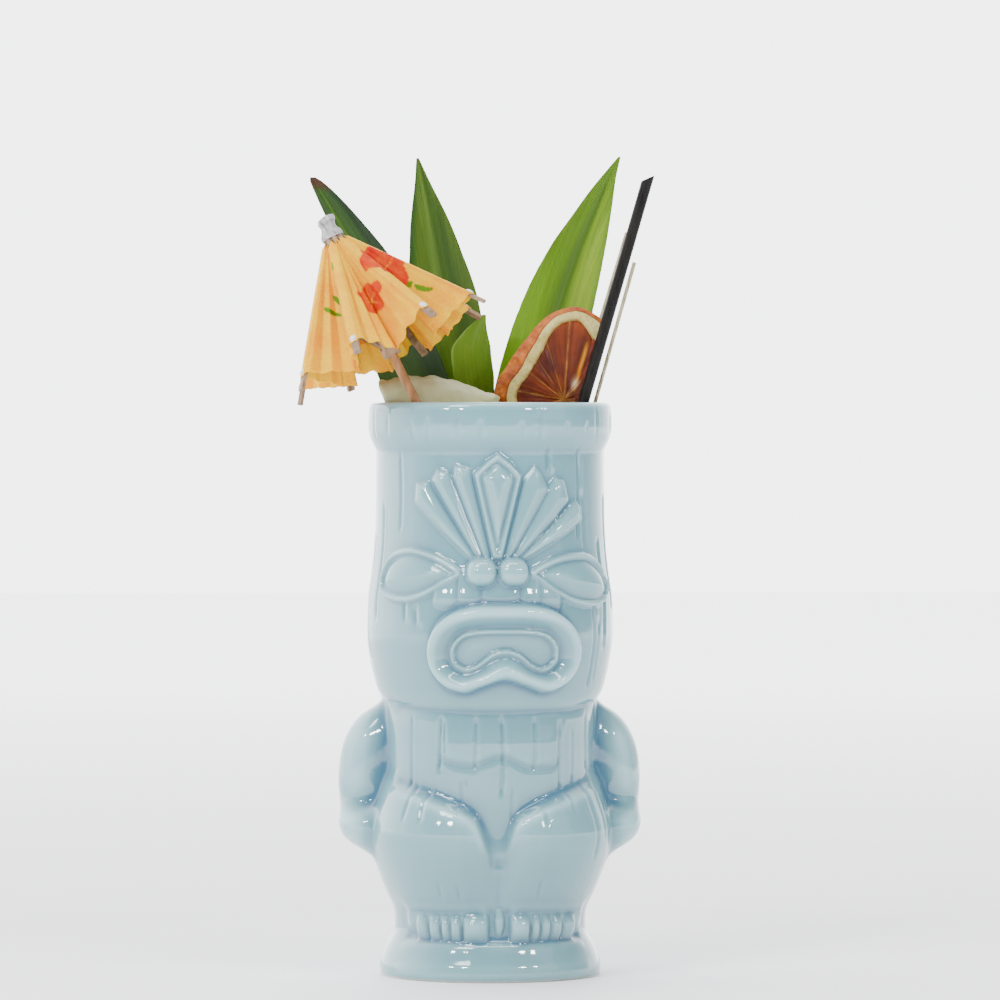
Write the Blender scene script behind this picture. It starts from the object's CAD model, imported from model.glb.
"""The looks of a served tiki mug. Pieces are made in millimetres in the row's frame, scaled to metres.

The figure looks along -Y. Angles round the mug are counted from its front, positive to +X."""

import math

import bpy
import numpy as np
from mathutils import Matrix, Vector


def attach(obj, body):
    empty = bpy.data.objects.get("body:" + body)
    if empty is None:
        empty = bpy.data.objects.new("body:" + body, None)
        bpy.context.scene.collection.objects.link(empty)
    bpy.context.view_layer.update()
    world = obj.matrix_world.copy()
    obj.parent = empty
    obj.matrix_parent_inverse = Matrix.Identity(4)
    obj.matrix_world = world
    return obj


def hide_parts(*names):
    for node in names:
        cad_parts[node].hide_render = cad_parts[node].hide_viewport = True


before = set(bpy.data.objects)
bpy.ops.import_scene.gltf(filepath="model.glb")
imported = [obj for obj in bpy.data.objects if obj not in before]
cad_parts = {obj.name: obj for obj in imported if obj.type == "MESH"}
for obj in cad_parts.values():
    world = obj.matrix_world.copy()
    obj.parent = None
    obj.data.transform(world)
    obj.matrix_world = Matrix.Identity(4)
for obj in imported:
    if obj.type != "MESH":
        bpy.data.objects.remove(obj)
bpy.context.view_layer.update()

MM = 0.001
FRONT_SKY = 0.34
BACK_SKY = 5.0
SKY_TURN = math.radians(-24.0)  # the bright part of the sky stands behind and to the left
KEY_POWER = 17.0
STRIP_POWER = 9.5
FILL_POWER = 2.0
WINDOW_POWER = 3.4
FLOOR_GLOW = 2.3
TURN = math.radians(-3.5)  # the served garnish stands this far round from the mug's own front


# ---------------------------------------------------------------- numbers and curves


def smooth_step(low, high, value):
    """0 below low, 1 above high, and a smooth ramp between."""
    ramp = np.clip((value - low) / (high - low), 0.0, 1.0)
    return ramp * ramp * (3.0 - 2.0 * ramp)


def bump(value, middle, width):
    """A bell of height 1 round a middle value."""
    return np.exp(-(((value - middle) / width) ** 2))


def smooth_curve(points, at):
    """A smooth curve through (place, value) points that never overshoots, read at the places asked for."""
    xs, ys = (np.array(column, dtype=float) for column in zip(*points))
    step = np.diff(xs)
    slope = np.diff(ys) / step
    tangent = np.zeros_like(xs)
    same_way = slope[:-1] * slope[1:] > 0
    mean = 2.0 * slope[:-1] * slope[1:] / np.where(same_way, slope[:-1] + slope[1:], 1.0)
    tangent[1:-1] = np.where(same_way, mean, 0.0)
    tangent[0], tangent[-1] = slope[0], slope[-1]
    at = np.clip(at, xs[0], xs[-1])
    index = np.clip(np.searchsorted(xs, at) - 1, 0, len(step) - 1)
    t = (at - xs[index]) / step[index]
    h00 = (1 + 2 * t) * (1 - t) ** 2
    h10 = t * (1 - t) ** 2
    h01 = t * t * (3 - 2 * t)
    h11 = t * t * (t - 1)
    return (h00 * ys[index] + h10 * step[index] * tangent[index] + h01 * ys[index + 1] + h11 * step[index]
        * tangent[index + 1])


def closed_curve(points, steps=10):
    """A smooth closed outline through hand-placed points."""
    pts = np.array(points, dtype=float)
    before, after, beyond = (np.roll(pts, shift, axis=0) for shift in (1, -1, -2))
    rows = []
    for t in np.arange(steps) / steps:
        rows.append(0.5 * (2 * pts + (after - before) * t + (2 * before - 5 * pts + 4 * after - beyond)
            * t**2 + (3 * pts - before - 3 * after + beyond) * t**3))
    return np.stack(rows, axis=1).reshape(-1, 2)


def inside_distance(u, v, outline):
    """How far each (u, v) lies inside a closed outline, negative outside."""
    best = np.full(u.shape, 1e9)
    inside = np.zeros(u.shape, dtype=bool)
    for (ax, ay), (bx, by) in zip(outline, np.roll(outline, -1, axis=0)):
        dx, dy = bx - ax, by - ay
        t = np.clip(((u - ax) * dx + (v - ay) * dy) / (dx * dx + dy * dy + 1e-12), 0, 1)
        best = np.minimum(best, (u - ax - t * dx) ** 2 + (v - ay - t * dy) ** 2)
        if ay != by:
            crosses = (ay > v) != (by > v)
            inside ^= crosses & (u < (v - ay) * dx / dy + ax)
    return np.where(inside, 1.0, -1.0) * np.sqrt(best)


def wave_noise(u, v, seed, octaves=4, first=1.0):
    """Smooth repeatable noise of about -1 to 1, made of sine waves with random directions."""
    rng = np.random.default_rng(seed)
    total = np.zeros_like(u, dtype=float)
    size = 0.0
    for octave in range(octaves):
        scale = first * 1.9**octave
        weight = 0.55**octave
        for _ in range(4):
            angle = rng.uniform(0, 2 * math.pi)
            phase = rng.uniform(0, 2 * math.pi)
            stretch = rng.uniform(0.75, 1.3)
            wave = math.cos(angle) * u + math.sin(angle) * v
            total += weight * np.sin(scale * stretch * wave + phase)
        size += weight
    return total / (2.0 * size)


# ---------------------------------------------------------------- meshes


def cloud_noise(u, v, seed):
    """Waves between 0 and 1."""
    return 0.5 + 0.5 * wave_noise(u, v, seed)


def make_mesh(name, points, faces, material, body, replaces=(), smooth=True):
    """A mesh object from points in millimetres, with its material, body and slot."""
    mesh = bpy.data.meshes.new(name)
    mesh.from_pydata([tuple(p) for p in np.asarray(points) * MM], [], faces)
    mesh.validate()
    mesh.polygons.foreach_set("use_smooth", [smooth] * len(mesh.polygons))
    mesh.materials.append(material)
    piece = bpy.data.objects.new(name, mesh)
    bpy.context.scene.collection.objects.link(piece)
    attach(piece, body)
    if replaces:
        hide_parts(*replaces)
    return piece


def grid_faces(rows, columns, wrap=False, first=0, flip=False):
    """Quads over a grid of points, row by row, closed round the columns if wrap is set."""
    faces = []
    for row in range(rows - 1):
        for column in range(columns if wrap else columns - 1):
            beside = (column + 1) % columns
            a = first + row * columns + column
            b = first + row * columns + beside
            quad = (a, b, b + columns, a + columns)
            faces.append(quad[::-1] if flip else quad)
    return faces


def paint(piece, name, values):
    """A per-point number on a piece that its material reads."""
    layer = piece.data.attributes.new(name, "FLOAT", "POINT")
    layer.data.foreach_set("value", np.asarray(values, dtype=np.float32).ravel())


def paint_colour(piece, name, colours):
    """A per-point colour on a piece that its material reads."""
    layer = piece.data.color_attributes.new(name, "FLOAT_COLOR", "POINT")
    rgba = np.ones((len(colours), 4), dtype=np.float32)
    rgba[:, :3] = colours
    layer.data.foreach_set("color", rgba.ravel())


# ---------------------------------------------------------------- materials


class Nodes:
    """A material's node tree with short ways to add and join nodes."""

    def __init__(self, name, **sockets):
        self.material = bpy.data.materials.new(name)
        self.material.use_nodes = True
        self.tree = self.material.node_tree
        self.shader = self.tree.nodes["Principled BSDF"]
        for socket, value in sockets.items():
            self.shader.inputs[socket.replace("_", " ")].default_value = value

    def add(self, kind, **settings):
        node = self.tree.nodes.new(kind)
        for key, value in settings.items():
            setattr(node, key, value)
        return node

    def join(self, source, target):
        self.tree.links.new(source, target)

    def feed(self, socket, source):
        self.join(source, self.shader.inputs[socket])

    def place(self, stretch=(1, 1, 1)):
        """The piece's own coordinates in metres, stretched."""
        coordinates = self.add("ShaderNodeTexCoord")
        mapping = self.add("ShaderNodeMapping")
        mapping.inputs["Scale"].default_value = stretch
        self.join(coordinates.outputs["Object"], mapping.inputs["Vector"])
        return mapping.outputs["Vector"]

    def noise(self, scale, detail=3.0, stretch=(1, 1, 1), roughness=0.55):
        node = self.add("ShaderNodeTexNoise")
        node.inputs["Scale"].default_value = scale
        node.inputs["Detail"].default_value = detail
        node.inputs["Roughness"].default_value = roughness
        self.join(self.place(stretch), node.inputs["Vector"])
        return node.outputs["Fac"]

    def grain(self, low, high, *noise):
        """Noise with its values from low to high spread over 0 to 1."""
        return self.range(self.noise(*noise), low, high, 0.0, 1.0)

    def attribute(self, name, output="Fac"):
        node = self.add("ShaderNodeAttribute", attribute_name=name)
        return node.outputs[output]

    def ramp(self, source, *stops):
        """A colour ramp with (place, colour) stops."""
        node = self.add("ShaderNodeValToRGB")
        elements = node.color_ramp.elements
        while len(elements) < len(stops):
            elements.new(0.5)
        for element, (place, colour) in zip(elements, stops):
            element.position = place
            element.color = (*colour, 1.0) if len(colour) == 3 else colour
        self.join(source, node.inputs["Fac"])
        return node.outputs["Color"]

    def range(self, source, low, high, to_low, to_high):
        node = self.add("ShaderNodeMapRange")
        for socket, value in zip(("From Min", "From Max", "To Min", "To Max"),
            (low, high, to_low, to_high)):
            node.inputs[socket].default_value = value
        self.join(source, node.inputs["Value"])
        return node.outputs["Result"]

    def mix(self, factor, first, second, blend="MIX"):
        """Mixes two colours; each is a socket or a plain colour."""
        node = self.add("ShaderNodeMix", data_type="RGBA", blend_type=blend)
        for socket, value in (("Factor", factor), ("A", first), ("B", second)):
            target = next(s for s in node.inputs if s.name == socket
                and s.type == ("VALUE" if socket == "Factor" else "RGBA"))
            if hasattr(value, "is_linked"):
                self.join(value, target)
            elif socket == "Factor":
                target.default_value = value
            else:
                target.default_value = (*value, 1.0)
        return next(s for s in node.outputs if s.type == "RGBA")

    def bump(self, source, strength, distance, below=None):
        node = self.add("ShaderNodeBump")
        node.inputs["Strength"].default_value = strength
        node.inputs["Distance"].default_value = distance
        self.join(source, node.inputs["Height"])
        if below is not None:
            self.join(below, node.inputs["Normal"])
        return node.outputs["Normal"]


def glaze_material():
    """A pale blue-grey glossy glaze that thins over edges and pools in hollows."""
    n = Nodes("glaze", Roughness=0.07, IOR=1.52, Coat_Weight=0.5, Coat_Roughness=0.02)
    pooled = n.attribute("pooled")
    thickness = n.ramp(pooled, (0.0, (0.330, 0.540, 0.580)), (0.38, (0.165, 0.335, 0.365)),
        (0.58, (0.135, 0.285, 0.325)), (1.0, (0.045, 0.140, 0.215)))
    cloud = n.grain(0.3, 0.7, 38.0, 3.0)
    clouded = n.mix(cloud, (0.92, 0.98, 0.98), (1.04, 1.0, 1.02))
    tinted = n.mix(1.0, thickness, clouded, "MULTIPLY")
    speck = n.range(n.noise(900.0, 2.0), 0.70, 0.78, 0.0, 0.25)
    speckled = n.mix(speck, tinted, (0.18, 0.30, 0.34))
    bare = n.attribute("bare")
    clay = n.ramp(n.noise(400.0, 4.0), (0.35, (0.70, 0.66, 0.58)), (0.65, (0.80, 0.77, 0.70)))
    n.feed("Base Color", n.mix(bare, speckled, clay))
    n.feed("Roughness", n.range(bare, 0.0, 1.0, 0.07, 0.75))
    flow = n.bump(n.noise(110.0, 2.0, (1, 1, 0.45)), 0.10, 0.0012)
    n.feed("Normal", n.bump(n.noise(700.0, 2.0), 0.04, 0.0004, flow))
    return n.material


# ---------------------------------------------------------------- mug


MUG_HEIGHT = 180.0
SURFACE_RADIUS = 37.0  # lengths round the face are measured on this radius
RIM_INNER = 34.45
RIM_START = 177.2  # the rolled rim begins here
RIM_RISE = 2.8
FOOT_RINGS = ((28.5, 0.0), (27.0, 0.7), (12.0, 1.0))  # (radius, height) under the foot
# (height, radius) of the plain outside, without limbs
MUG_PROFILE = [(0.0, 33.8), (0.6, 34.6), (2.4, 35.1), (4.4, 34.9), (6.6, 34.0), (8.8, 33.1), (10.6, 32.5),
    (11.7, 31.8), (12.5, 30.4), (13.6, 29.9), (20.0, 30.1), (30.0, 30.4), (40.0, 31.0), (48.0, 32.6),
    (60.0, 33.3), (72.0, 33.2), (80.0, 33.3), (82.4, 33.2), (83.9, 33.0), (85.4, 34.3), (87.6, 35.4),
    (92.0, 36.4), (99.0, 37.7), (107.0, 38.7), (117.0, 38.5), (127.0, 37.3), (135.0, 36.5), (146.0, 36.0),
    (163.4, 35.9), (164.9, 35.95), (165.9, 36.35), (167.2, 37.0), (168.4, 37.6), (169.8, 38.05),
    (171.6, 38.3), (174.5, 38.35), (177.2, 38.2)]
# (height, radius) of the hollow
MUG_INSIDE = [(7.4, 20.0), (9.0, 23.0), (14.0, 24.6), (20.0, 25.6), (46.0, 28.4), (84.0, 28.6),
    (97.0, 31.4), (110.0, 33.6), (135.0, 33.0), (150.0, 32.4), (163.0, 34.0), (172.0, 34.45),
    (178.0, 34.5)]
# (height, radius) over the bulge of a bent leg
LEG_PROFILE = [(21.5, 30.0), (23.5, 32.0), (26.0, 33.5), (30.0, 35.6), (34.0, 37.6), (38.0, 39.4),
    (42.0, 40.7), (46.0, 41.2), (50.0, 40.4), (54.0, 38.8), (58.0, 37.2), (62.0, 35.8), (66.0, 34.6)]
# (angle, share of the bulge)
LEG_ROUND = [(0, 0.34), (2, 0.37), (5, 0.52), (9, 0.72), (13, 0.85), (19, 0.95), (32, 1.0), (50, 0.97),
    (70, 0.84), (90, 0.75), (125, 0.7), (180, 0.62)]
# (angle, height) of the crease where a thigh meets the belly
LEG_TOP = [(0, 46.0), (2.5, 46.4), (6, 48.4), (10, 51.3), (14.5, 53.4), (25, 56.2), (40, 58.8),
    (52, 60.4), (70, 62.8), (90, 66.0), (180, 66.0)]
# (height, radius) over the outer edge of an arm
ARM_PROFILE = [(37.4, 33.0), (38.4, 37.0), (39.6, 41.0), (41.4, 44.4), (43.6, 46.4), (46.4, 47.6),
    (50.0, 47.9), (53.0, 47.4), (56.0, 47.5), (60.0, 48.0), (65.0, 47.9), (70.0, 47.3), (75.0, 45.7),
    (79.0, 43.4), (82.0, 41.0), (85.0, 37.6), (87.6, 34.5)]
FEATHER_ROOT = 131.5


def limbs_relief(angle, height, radius):
    """Legs and arms that stand out of the torso, and the feet on the plinth."""
    turn = np.degrees(angle)
    side = np.abs(turn)
    bulge = smooth_curve(LEG_PROFILE, height) - 30.2
    around = smooth_curve(LEG_ROUND, np.sqrt((turn - 1.5) ** 2 + 2.25) - 1.5)
    leg = 30.2 + bulge * around
    top = smooth_curve(LEG_TOP, side)
    spread = 1.0 + 2.2 * smooth_step(12.0, 3.0, side)
    under_top = smooth_step(-1.2, 2.8 * spread, top - height) * smooth_step(19.0, 22.5, height)
    legs = np.where(leg > radius, radius + (leg - radius) * under_top, radius)
    dimple = 1.1 * bump(turn, 1.5, 4.0) * bump(height, 37.0, 2.2)
    seam = 0.5 * bump(turn, 1.5, 2.4) * smooth_step(22, 26, height) * smooth_step(36, 32, height)
    legs = legs - dimple - seam
    outer = smooth_curve(ARM_PROFILE, height)
    wrist = bump(height, 54.0, 2.6)
    fist = smooth_step(55.0, 49.0, height)
    middle = 98.0 - 7.0 * fist
    half = 19.0 + 1.5 * fist - 0.7 * wrist - 5.0 * smooth_step(74.0, 86.0, height)
    behind = 1.0 + 0.75 * smooth_step(0.0, 6.0, side - middle)
    across = np.clip(np.abs((side - middle) / (half * behind)), 0, 1)
    dome = np.sqrt(np.clip(1 - across**2.4, 0, 1))
    dome = dome + smooth_step(0.0, 12.0, side - middle) * ((1 - across**2) ** 1.3 - dome)
    base = np.minimum(legs, 33.0)
    arm = base + (outer - base) * dome - 0.6 * (1 - dome)
    arm = arm - 9.0 * (1 - smooth_step(36.8, 38.6, height) * smooth_step(90.0, 82.5, height))
    elbow = 0.5 * bump(side, 88.0, 1.6) * bump(height, 68.0, 11.0)
    return smooth_max(legs, arm - elbow, 1.6)


def smooth_max(first, second, blend):
    """The larger of two surfaces, with a small fillet where they meet."""
    share = np.clip(0.5 + 0.5 * (first - second) / blend, 0, 1)
    return second + (first - second) * share + blend * share * (1 - share) * 0.5


TOES_LEFT = (6.0, 21.5, 28.6, 34.2, 42.6, 52.5)  # angles between the toes, from the middle outwards
TOES_RIGHT = (6.0, 18.4, 24.4, 31.4, 40.0, 52.0)


def feet_relief(angle, height):
    """Two feet with a big toe and four small ones each, and a small nub between them."""
    turn = np.degrees(angle) - 2.0
    top = smooth_step(25.5, 20.5, height)
    foot = np.zeros_like(turn)
    for hand, edges in ((-1, TOES_LEFT), (1, TOES_RIGHT)):
        side = turn * hand
        for low, high in zip(edges, edges[1:]):
            middle, half = (low + high) / 2, (high - low) / 2
            big = 1.0 if low == edges[0] else 0.0
            x = np.abs((side - middle) / half)
            z = (height - 17.6) / (4.9 + 0.3 * big)
            below = np.clip(-z, 0, None)
            round_x = np.sqrt(np.clip(1 - x ** (2.6 - 0.5 * big), 0, 1))
            round_z = np.sqrt(np.clip(1 - below**2.2, 0, 1))
            toe = (2.7 + 0.9 * big) * round_x * round_z * smooth_step(1.25, 0.0, z)
            foot = np.maximum(foot, toe)
        foot = np.maximum(foot, 1.5 * top * smooth_step(14.5, 19.0, height) * smooth_step(4.5, 9.0, side)
            * smooth_step(66.0, 57.0, side))
    nub = 1.5 * np.sqrt(np.clip(1 - (turn / 3.0) ** 2 - ((height - 18.6) / 4.6) ** 2, 0, 1))
    return foot + nub


def crown_outlines():
    """Seven feathers: an outline on the face, its centre line's lean, and a flag for the middle one."""
    # (u, z) corners from the left shoulder over the tip to the right shoulder
    tips = [[(-7.4, 157.8), (-3.4, 161.6), (0.3, 164.4), (4.4, 161.2), (8.0, 157.4)], [(-14.2, 157.0),
        (-13.2, 160.6), (-8.6, 159.6), (-8.0, 156.0)], [(-21.4, 155.8), (-19.2, 159.4), (-15.6, 158.4),
        (-14.6, 156.0)], [(-27.8, 149.2), (-27.4, 154.4), (-22.8, 155.6), (-21.8, 153.6)], [(8.9, 156.4),
        (12.2, 160.2), (14.2, 158.6), (17.2, 153.2)], [(17.6, 154.4), (19.8, 156.6), (23.2, 155.6),
        (25.0, 149.4)], [(25.4, 148.6), (28.2, 149.4), (31.2, 147.4), (31.0, 143.4)]]
    roots = [(-1.5, 1.7), (-4.0, -2.0), (-6.0, -4.4), (-8.2, -6.4), (2.1, 4.0), (4.4, 6.2), (6.6, 8.6)]
    for tip, (left, right) in zip(tips, roots):
        yield np.array([(left, FEATHER_ROOT), *tip, (right, FEATHER_ROOT)])


def crown_relief(u, z):
    """The fan of feathers above the eyes: convex blades with bevelled tips, and a framed middle one."""
    relief = np.zeros_like(u)
    for index, outline in enumerate(crown_outlines()):
        near = inside_distance(u, z, outline)
        depth = np.clip(near, 0, None)
        blade = 0.65 * smooth_step(-0.4, 0.4, near) + 1.7 * (1 - np.exp(-depth / 1.9))
        if index == 0:
            frame_ridge = 0.5 * bump(near, 0.9, 0.6)
            groove = 0.9 * bump(near, 2.3, 0.55)
            lozenge = 0.30 * np.clip(near - 2.6, 0, 2.6)
            blade = blade + frame_ridge - groove + lozenge
        relief = np.maximum(relief, blade)
    return relief


# outlines of the two eyes, (u, z), which aren't mirror images
EYES = ([(-11.0, 127.2), (-17.3, 131.6), (-23.8, 133.9), (-30.4, 134.4), (-37.7, 132.4), (-42.0, 127.4),
    (-41.6, 121.6), (-36.6, 118.9), (-29.1, 118.3), (-22.8, 120.0), (-16.3, 123.6)], [(10.4, 127.0),
    (14.6, 130.0), (21.7, 132.4), (31.3, 132.8), (39.6, 129.4), (43.4, 123.3), (41.4, 118.4),
    (34.0, 116.7), (24.8, 117.9), (18.4, 120.9), (13.4, 124.4)])


def eye_relief(u, z):
    """Two leaf-shaped eyes: a raised rim round a domed ball."""
    relief = np.zeros_like(u)
    for outline in EYES:
        near = inside_distance(u, z, closed_curve(outline, 8))
        rim = 1.7 * np.exp(-(((near - 0.7) / 0.85) ** 2)) * smooth_step(-1.2, 0.2, near)
        ball = 2.9 * (1 - np.exp(-np.clip(near - 1.6, 0, None) / 3.0))
        relief = relief + rim + ball - 0.45 * bump(near, -1.6, 1.2)
    return relief


MOUTH_MIDDLE = 2.4
# (u from the mouth's middle, z)
LIPS_OUTLINE = [(0.0, 118.4), (9.0, 118.0), (16.5, 115.4), (21.6, 110.4), (23.8, 103.4), (23.0, 96.6),
    (19.0, 91.4), (12.6, 89.6), (6.0, 91.8), (0.0, 93.4)]
OPENING_OUTLINE = [(0.0, 109.2), (7.0, 109.0), (12.6, 107.6), (15.6, 103.8), (15.4, 99.6), (12.2, 97.3),
    (8.4, 98.2), (4.0, 101.6), (0.0, 102.8)]


# (share of the way in from the outside, height)
LIPS_SECTION = [(0.0, 0.0), (0.06, 1.3), (0.16, 3.5), (0.28, 5.1), (0.40, 5.0), (0.62, 3.1), (0.85, 0.9),
    (1.0, 0.5)]


def mirrored(half):
    """A whole outline from its right half, which starts and ends on the middle line."""
    left = [(-x, y) for x, y in half[-2:0:-1]]
    return closed_curve([*half, *left], 8)


def mouth_relief(u, z):
    """Thick lips that stand out of the face round a sunken mouth with a raised edge."""
    across = u - MOUTH_MIDDLE
    outside = inside_distance(across, z, mirrored(LIPS_OUTLINE))
    opening = inside_distance(across, z, mirrored(OPENING_OUTLINE))
    part = np.clip(outside, 0, None)
    share = part / (part + np.clip(-opening, 0, None) + 1e-6)
    crest = smooth_curve(LIPS_SECTION, share)
    lips = np.where(outside > 0, crest, 0.0)
    edge = 1.2 * bump(opening, -0.1, 0.6) * (outside > 0)
    floor = 1.1 - 1.9 * smooth_step(0.0, 1.6, opening) + 0.9 * smooth_step(1.6, 4.4, opening)
    sunk = np.where(opening > 0, floor, 0.0)
    around = 0.35 * bump(outside, -0.9, 1.2)
    return np.where(opening > 0, sunk, lips) + edge - around


def nose_relief(u, z):
    """Two round knobs between the eyes."""
    relief = np.zeros_like(u)
    for middle in (-4.7, 4.9):
        apart = (np.abs((u - middle) / 4.75) ** 2.3 + np.abs((z - 127.6) / 4.7) ** 2.3) ** (1 / 2.3)
        relief = np.maximum(relief, 4.2 * np.sqrt(np.clip(1 - apart**2.2, 0, 1)))
    return relief


def plank_relief(u, z):
    """Short plank ends with rounded foot under the nose, over the upper lip."""
    relief = np.zeros_like(u)
    under_nose = smooth_step(129.5, 126.5, z)
    edges = (-19.5, -12.2, -5.0, 7.0, 13.4, 20.0)
    for low, high in zip(edges, edges[1:]):
        middle, half = (low + high) / 2, (high - low) / 2
        inside = np.clip(np.abs((u - middle) / half), 0, 1)
        foot = 118.2 + 1.2 * inside**2.6 - 0.04 * np.abs(middle) ** 1.3
        round_edge = np.sqrt(np.clip(1 - inside**5, 0, 1))
        plank = round_edge * smooth_step(-0.8, 0.9, z - foot)
        swell = 1.0 + 0.3 * bump(z, 120.2, 1.7)
        relief = np.maximum(relief, 0.8 * swell * plank)
    return relief * under_nose


# carved grooves: (angle, bottom, top, depth)
GROOVES = [(26.0, 158.5, 166.0, 0.5), (46.0, 137.0, 166.0, 0.5), (49.5, 134.5, 152.0, 0.3),
    (-54.0, 140.0, 164.0, 0.32), (-47.0, 112.0, 118.5, 0.35), (-40.0, 111.0, 117.0, 0.35),
    (31.5, 113.0, 119.0, 0.35), (54.0, 91.5, 117.0, 0.62), (57.5, 93.0, 112.0, 0.3),
    (-50.5, 60.0, 82.0, 0.45), (-31.2, 66.0, 82.0, 0.6), (-28.5, 70.0, 82.0, 0.3),
    (-11.3, 66.5, 82.0, 0.4), (2.8, 58.0, 82.0, 0.55), (20.7, 66.0, 82.0, 0.35), (37.5, 60.0, 80.0, 0.45),
    (46.5, 62.0, 78.0, 0.3), (61.0, 66.0, 82.0, 0.5), (-19.0, 52.5, 62.0, 0.28), (9.0, 50.0, 60.0, 0.32),
    (-46.0, 50.0, 60.0, 0.35), (-36.0, 50.0, 59.5, 0.4), (23.0, 49.5, 53.5, 0.4), (39.0, 52.0, 58.0, 0.3),
    (52.0, 38.0, 60.0, 0.35), (60.0, 44.0, 61.0, 0.35), (-30.0, 26.0, 31.0, 0.3),
    (-20.0, 26.0, 30.0, 0.3), (22.0, 26.0, 32.0, 0.3)]


def groove_relief(angle, z):
    """Knife-cut grooves that make the figure look carved from wood."""
    turn = np.degrees(angle)
    relief = np.zeros_like(turn)
    rng = np.random.default_rng(11)
    cuts = list(GROOVES)
    for middle in np.arange(-176.0, 180.0, 11.5):
        if abs(middle) > 62.0:
            bottom = rng.uniform(90.0, 118.0)
            cuts.append((middle + rng.uniform(-3, 3), bottom, bottom + rng.uniform(32, 60), 0.4))
    for middle in np.arange(-178.0, 180.0, 14.0):
        if abs(middle) > 118.0:
            cuts.append((middle + rng.uniform(-3, 3), rng.uniform(38, 58), rng.uniform(68, 81), 0.42))
    for middle in np.arange(-174.0, 180.0, 13.0):
        bottom = rng.uniform(167.5, 171.0)
        cuts.append((middle + rng.uniform(-4, 4), bottom, rng.uniform(173, 178), 0.22))
    for place, bottom, top, depth in cuts:
        drift = 0.5 * np.sin(z * 0.16 + place)
        apart = (turn - place - drift + 180.0) % 360.0 - 180.0
        along = smooth_step(bottom - 1.2, bottom + 1.6, z) * smooth_step(top + 1.2, top - 1.6, z)
        relief -= 1.25 * depth * bump(apart, 0.0, 1.05) * along
        relief += 0.3 * depth * bump(apart, 2.2, 1.5) * along
    return relief


def chest_relief(angle, z):
    """The lower edge of the chest muscles."""
    turn = np.degrees(angle)
    edge = smooth_curve([(-34, 71.4), (-27, 69.4), (-14, 68.0), (2.8, 70.8), (19, 67.4), (31, 67.6),
        (38, 70.0)], turn)
    across = smooth_step(-36, -24, turn) * smooth_step(41, 29, turn)
    above = smooth_step(-0.9, 0.9, z - edge) * smooth_step(81.0, 74.0, z)
    return 0.75 * above * across - 0.3 * bump(z, edge - 0.8, 0.9) * across


def mug_radius(angle, z):
    """The outside of the mug in millimetres for angles round it and heights."""
    u = SURFACE_RADIUS * angle
    chin_sag = 2.6 * (1 - np.cos(angle)) * bump(z, 85.0, 9.0)
    radius = smooth_curve(MUG_PROFILE, z - chin_sag)
    radius = limbs_relief(angle, z, radius)
    front = smooth_step(1.9, 1.6, np.abs(angle))
    face = (z > 86.0) & (z < 168.0)
    relief = np.where(face, crown_relief(u, z), 0.0)
    for feature in (eye_relief, mouth_relief, nose_relief, plank_relief):
        relief = np.maximum(relief, np.where(face, feature(u, z), -9.0)
            * front) + np.minimum(np.where(face, feature(u, z), 0.0) * front, 0.0)
    radius = radius + relief
    radius = radius + feet_relief(angle, z) * front
    radius = radius + groove_relief(angle, z)
    return radius + chest_relief(angle, z) * front


def blurred(values, rows, columns):
    """A grid's values averaged over neighbours, wrapping round the columns."""
    out = values
    for _ in range(rows):
        padded = np.pad(out, ((1, 1), (0, 0)), mode="edge")
        out = (padded[:-2] + 2 * out + padded[2:]) / 4
    for _ in range(columns):
        out = (np.roll(out, 1, 1) + 2 * out + np.roll(out, -1, 1)) / 4
    return out


def mug_angles():
    """Angles round the mug, close together over the face and wider apart behind."""
    right = np.linspace(72.0, 120.0, 45)[1:]
    face = np.linspace(-72.0, 72.0, 193)
    back = np.linspace(120.0, 240.0, 50)[1:-1]
    return np.radians(np.concatenate([face, right, back, 360.0 - right[::-1]]))


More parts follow.
